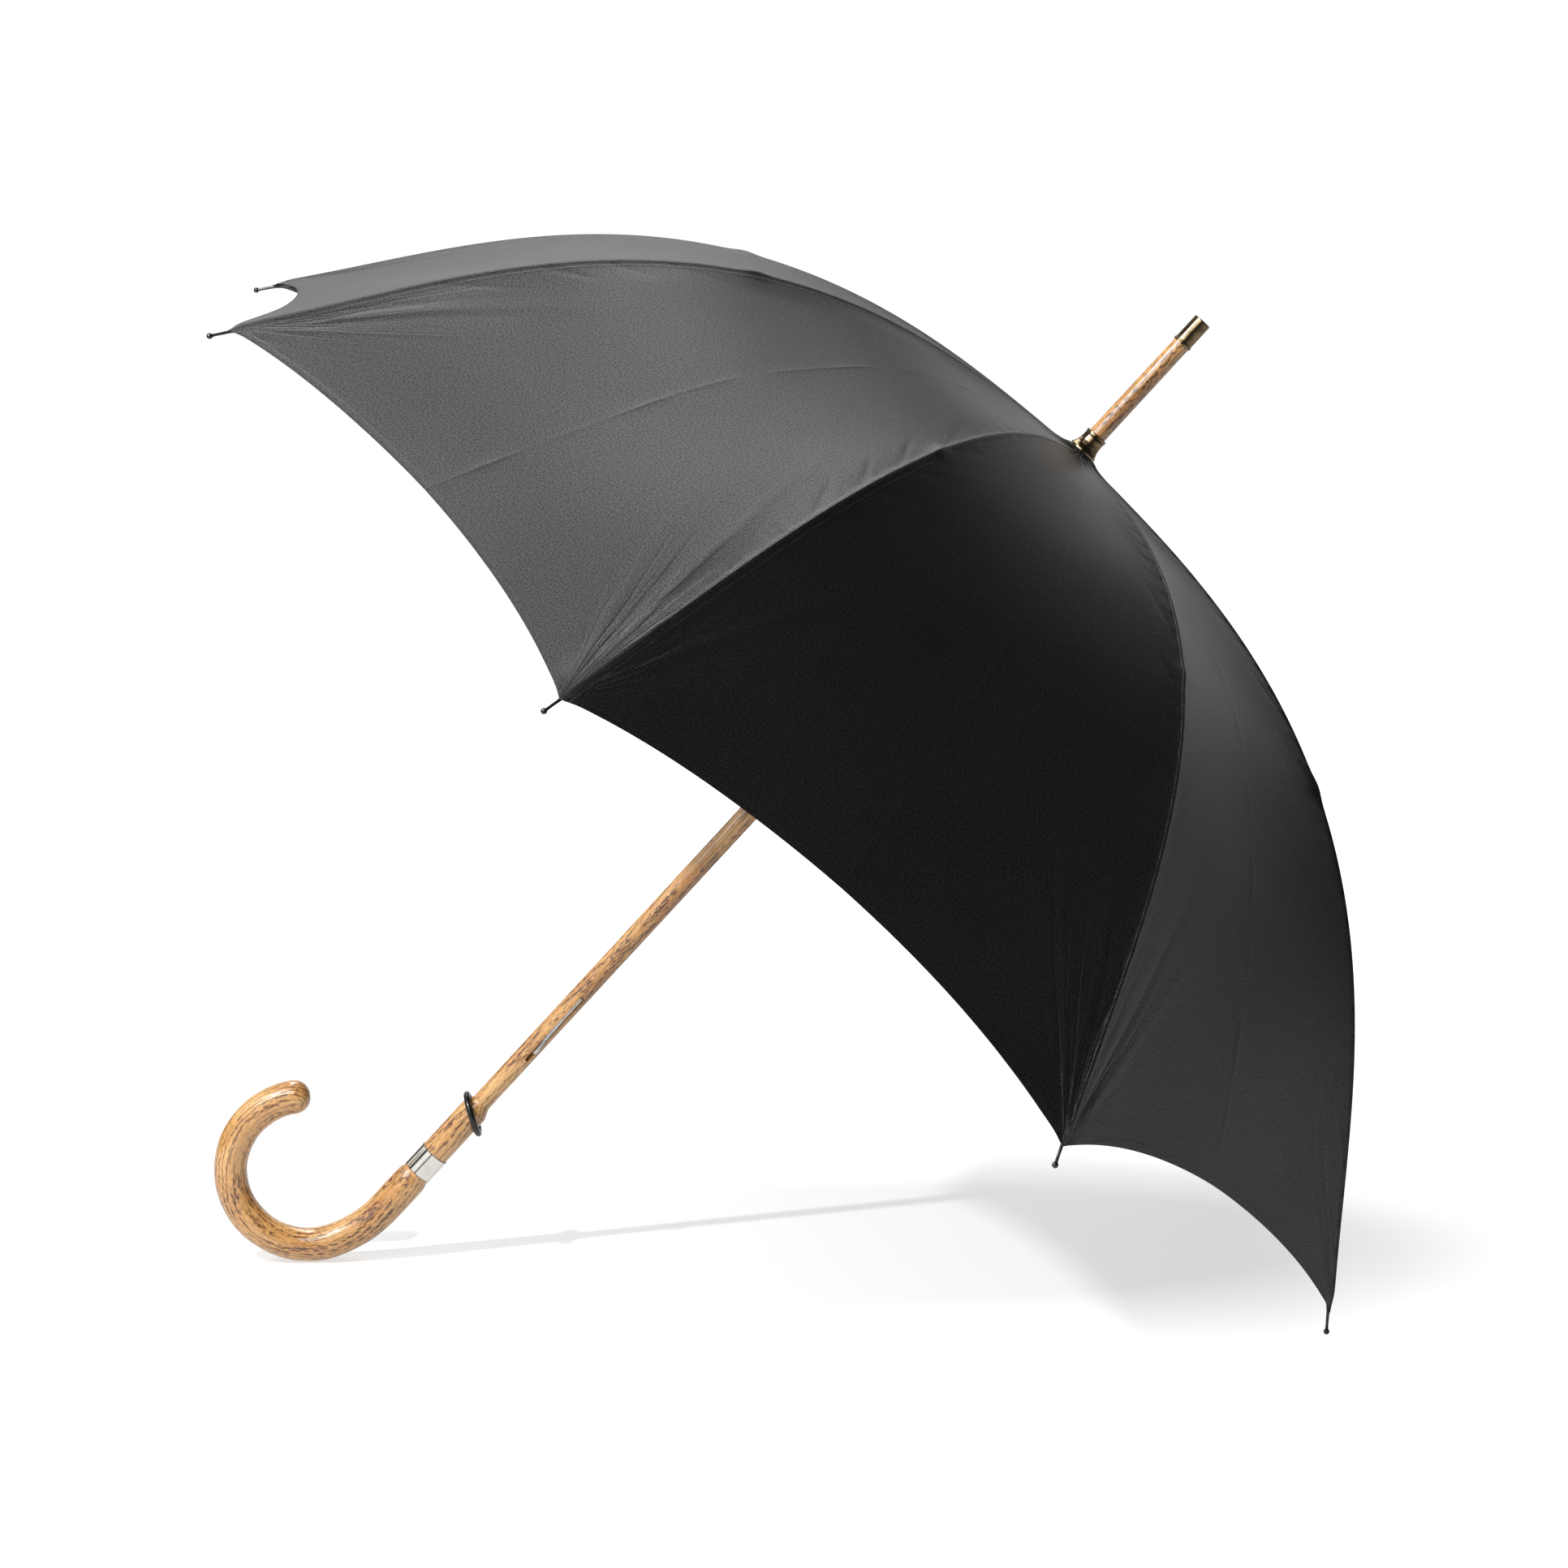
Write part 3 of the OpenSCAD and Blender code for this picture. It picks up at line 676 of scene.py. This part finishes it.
def make_seam_bands(material):
    """The doubled cloth under each seam: it lies along the rib, under the panels."""
    for rib in range(1, RIBS + 1):
        for lower, part in PARTS:
            if lower:
                along = np.linspace(JOINT_AT, SEAM_LENGTH - BAND_END, 90)
            else:
                along = np.linspace(COVER_START, JOINT_AT, 80)
            half_chord = seam_at(along)[0] * math.sin(HALF)
            reach = np.minimum(0.97 * half_chord, SEAM_BAND)
            steps = np.linspace(0, 1, 9)[None, :] * (reach / half_chord)[:, None]
            u = np.repeat(along[:, None], steps.shape[1], axis=1)
            lift = np.full_like(u, -BAND_DROP)
            before = cloth_points((rib - 2) % RIBS + 1, u, 1 - steps, lift)
            after = cloth_points(rib, u, steps - 1, lift)
            points = np.concatenate([before[:, :0:-1], after], axis=1)
            offset = steps * half_chord[:, None]
            offset = np.concatenate([-offset[:, :0:-1], offset], axis=1)
            down = np.repeat(along[:, None], offset.shape[1], axis=1)
            flat = np.stack([offset * MM + 0.5, down * MM], axis=-1)
            piece = cloth_piece(f"seam_band_{rib}_{part}", points, grid_faces(*offset.shape), flat,
                                material)
            # A metre from every corner, seam and hem, so that the material draws none of them
            far = np.ones((offset.size, 3))
            store(piece, "fan", far)
            store(piece, "edges", far)
            hold_cloth(piece, rib, lower)


# Inner and outer radius of the gathered ring
CROWN_RING = (8.2, 14.4)
PLEATS = 24


def make_crown_gather(material):
    """The ring of gathered cloth that the crown cup holds down."""
    turns, across = 192, 14
    share = np.linspace(0, 1, across)[:, None]
    angle = np.linspace(0, 2 * math.pi, turns, endpoint=False)[None, :]
    inner, outer = CROWN_RING
    radius = inner + (outer - inner) * share + 0 * angle
    pleat = 0.2 * np.sin(PLEATS * angle + 1.5 * np.sin(3 * angle)) * smooth(0.1, 0.6, share)
    height = 4.0 - 2.1 * share**1.4 + pleat
    points = np.stack([radius * np.cos(angle), radius * np.sin(angle), height], axis=-1)
    piece = cloth_piece("cover_crown", points, grid_faces(across, turns, closed=True, flip=True),
                        points[..., :2] * MM, material)
    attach(piece, "stick")


# ---------------------------------------------------------------- the crook
GRIP_RADIUS = 10.25
CROOK_RADIUS = 11.8
TIP_SWELL = 0.4
# Heights at which the crook starts, swells below the collar and begins to bend
CROOK_START = -671
SWELL = (-680.5, -689)
STRAIGHT_END = -713.6
# Radius of the first bend and the angle it turns through, then radius and end of the main one
FIRST_BEND = (90.0, math.radians(28.5))
MAIN_BEND = 53.6
CROOK_END = math.radians(218)


def crook_line():
    """Stations of the crook: X, Z, the angle turned so far and the radius, in millimetres."""
    stations = []
    for z in np.arange(CROOK_START, STRAIGHT_END, -1.5):
        radius = GRIP_RADIUS + (CROOK_RADIUS - GRIP_RADIUS) * float(smooth(*SWELL, z))
        stations.append((0.0, z, 0.0, radius))
    bend, turn = FIRST_BEND
    for a in np.linspace(0, turn, 22)[:-1]:
        stations.append((-bend + bend * math.cos(a), STRAIGHT_END - bend * math.sin(a),
                         a, CROOK_RADIUS))
    centre = (-bend + (bend - MAIN_BEND) * math.cos(turn),
              STRAIGHT_END - (bend - MAIN_BEND) * math.sin(turn))
    for a in np.linspace(turn, CROOK_END, 92):
        radius = CROOK_RADIUS + TIP_SWELL * float(smooth(math.radians(170), CROOK_END, a))
        stations.append((centre[0] + MAIN_BEND * math.cos(a), centre[1] - MAIN_BEND * math.sin(a),
                         a, radius))
    return stations


def make_crook(material):
    """The bent wood below the collar, with a rounded end and a slightly uneven surface."""
    sides, cap = 64, 12
    rings, coordinates = [], []
    travelled, last = 0.0, None
    angle = np.linspace(0, 2 * math.pi, sides, endpoint=False)

    def add_ring(x, z, turned, radius, along):
        across = radius * np.cos(angle)
        rings.append(np.stack([x + across * math.cos(turned), radius * np.sin(angle),
                               z - across * math.sin(turned)], axis=-1))
        coordinates.append(np.stack([across, radius * np.sin(angle), np.full(sides, along)],
                                    axis=-1))

    for x, z, turned, radius in crook_line():
        if last is not None:
            travelled += math.hypot(x - last[0], z - last[1])
        last = (x, z)
        uneven = 0.10 * math.sin(travelled / 11.0) + 0.08 * math.sin(travelled / 4.7 + 1)
        radius += uneven * float(smooth(22, 50, travelled))
        add_ring(x, z, turned, radius, travelled)
    for i in range(1, cap):
        b = i / cap * math.pi / 2
        out = radius * math.sin(b)
        add_ring(x - out * math.sin(turned), z - out * math.cos(turned), turned,
                 radius * math.cos(b) ** 0.9, travelled + out)
    vertices = np.concatenate(rings)
    faces = grid_faces(len(rings), sides, closed=True)
    end = len(vertices)
    tip = rings[-1].mean(axis=0)
    vertices = np.concatenate([vertices, [tip]])
    start = end - sides
    faces += [(start + (j + 1) % sides, start + j, end)[::-1] for j in range(sides)]
    faces.append(tuple(range(sides)))
    piece = new_object("crook", to_row(vertices), faces, material)
    tip_place = coordinates[-1].mean(axis=0)[None, :]
    store(piece, "grain", np.concatenate(coordinates + [tip_place]) * MM)
    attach(piece, "stick")
    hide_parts("crook_handle")


# ---------------------------------------------------------------- CAD nodes
FINISHES = {
    "stick": "wood", "handle_collar": "silver", "tip_ferrule": "brass", "crown_cup": "brass",
    "top_notch": "nickel", "top_notch_wire": "nickel", "runner": "nickel", "runner_wire": "nickel",
    "top_spring": "spring", "hand_spring": "spring", "keeper_ring": "ring",
}


def dress(name, material):
    node = frame["nodes"][name]
    node.data.materials.clear()
    node.data.materials.append(material)


def dress_frame(materials):
    for name, finish in FINISHES.items():
        dress(name, materials[finish])
    for k in range(1, RIBS + 1):
        for name in (f"rib_{k}_inner", f"rib_{k}_outer", f"stretcher_{k}"):
            dress(name, materials["rib"])
        dress(f"rib_tip_{k}", materials["tip"])


# ---------------------------------------------------------------- studio
FLOOR_SIZE = 14.0
WORLD_SEEN = 1.05
WORLD_LIGHT = 0.04
MIDDLE = (0, 0, 0.4)
# Name, place, what it points at, size in metres and power in watts
LIGHTS = [
    ("sun_spot", (-1.89, -1.35, 2.8), (0, 0, 0.1), (0.10, 0.10), 88),
    ("softbox", (-0.78, -1.12, 1.39), MIDDLE, (1.5, 0.6), 12),
    ("front_fill", (-1.25, -1.6, 0.75), MIDDLE, (1.6, 1.0), 5),
    ("left_fill", (-2.5, 0.4, 1.9), MIDDLE, (2.0, 1.6), 8),
    ("backdrop", (0.35, 3.4, 1.15), (0, 0, 0.5), (6.8, 2.3), 42),
    ("overhead", (-0.15, 1.25, 2.5), (-0.1, 0, 0.6), (1.5, 1.5), 41),
]


def floor_material():
    n = Nodes("pale_floor")
    n.set(Base_Color=(0.45, 0.45, 0.45, 1), Specular_IOR_Level=0.1, Emission_Color=(1, 1, 1, 1))
    place = object_coordinates(n)
    # What the camera sees of the glow, brighter farther out, where the floor ends up white
    seen = n.between(n.distance(place, (0.02, 0.03, 0), (0.46, 1.15, 1)), 0.60, 1.03, 0.17, 0.35)
    # What lights the object: a patch that is brightest under it
    sheet = n.between(n.distance(place, (0, 0, 0), (1, 1, 1)), 0.36, 0.10, 0.8, 1.5)
    camera_ray = n.add("LightPath").outputs["Is Camera Ray"]
    seen_part = n.math("MULTIPLY", seen, camera_ray)
    lit_part = n.math("MULTIPLY", sheet, n.math("SUBTRACT", 1.0, camera_ray))
    n.to_shader(n.math("ADD", seen_part, lit_part), "Emission Strength")
    n.to_shader(n.between(n.noise(place, 3.0), 0.55, 0.65), "Roughness")
    return n.material


def make_floor():
    corners = [(x * FLOOR_SIZE, y * FLOOR_SIZE, 0) for x, y in ((-1, -1), (1, -1), (1, 1), (-1, 1))]
    new_object("floor", corners, [(0, 1, 2, 3)], floor_material(), False)


def area_light(name, place, aim, size, power):
    data = bpy.data.lights.new(name, "AREA")
    data.shape = "RECTANGLE"
    data.size, data.size_y = size
    data.energy = power
    light = bpy.data.objects.new(name, data)
    bpy.context.scene.collection.objects.link(light)
    light.location = place
    light.rotation_mode = "QUATERNION"
    light.rotation_quaternion = (Vector(aim) - Vector(place)).to_track_quat("-Z", "Y")


def make_world():
    """White to the camera, and a faint light on everything else."""
    world = bpy.data.worlds.new("studio")
    bpy.context.scene.world = world
    world.use_nodes = True
    tree = world.node_tree
    tree.nodes.clear()
    seen = tree.nodes.new("ShaderNodeBackground")
    seen.inputs["Strength"].default_value = WORLD_SEEN
    light = tree.nodes.new("ShaderNodeBackground")
    light.inputs["Strength"].default_value = WORLD_LIGHT
    path = tree.nodes.new("ShaderNodeLightPath")
    mix = tree.nodes.new("ShaderNodeMixShader")
    out = tree.nodes.new("ShaderNodeOutputWorld")
    tree.links.new(path.outputs["Is Camera Ray"], mix.inputs[0])
    tree.links.new(light.outputs[0], mix.inputs[1])
    tree.links.new(seen.outputs[0], mix.inputs[2])
    tree.links.new(mix.outputs[0], out.inputs[0])
    for node in (seen, light):
        node.inputs["Color"].default_value = (1, 1, 1, 1)


def make_studio():
    make_floor()
    make_world()
    for light in LIGHTS:
        area_light(*light)
    bpy.context.scene.view_settings.view_transform = "Standard"


make_camera()
make_studio()
materials = make_materials()
dress_frame(materials)
make_crook(materials["crook"])
make_crown_gather(materials["cloth"])
make_cover(materials["cloth"])
make_seam_bands(materials["cloth"])
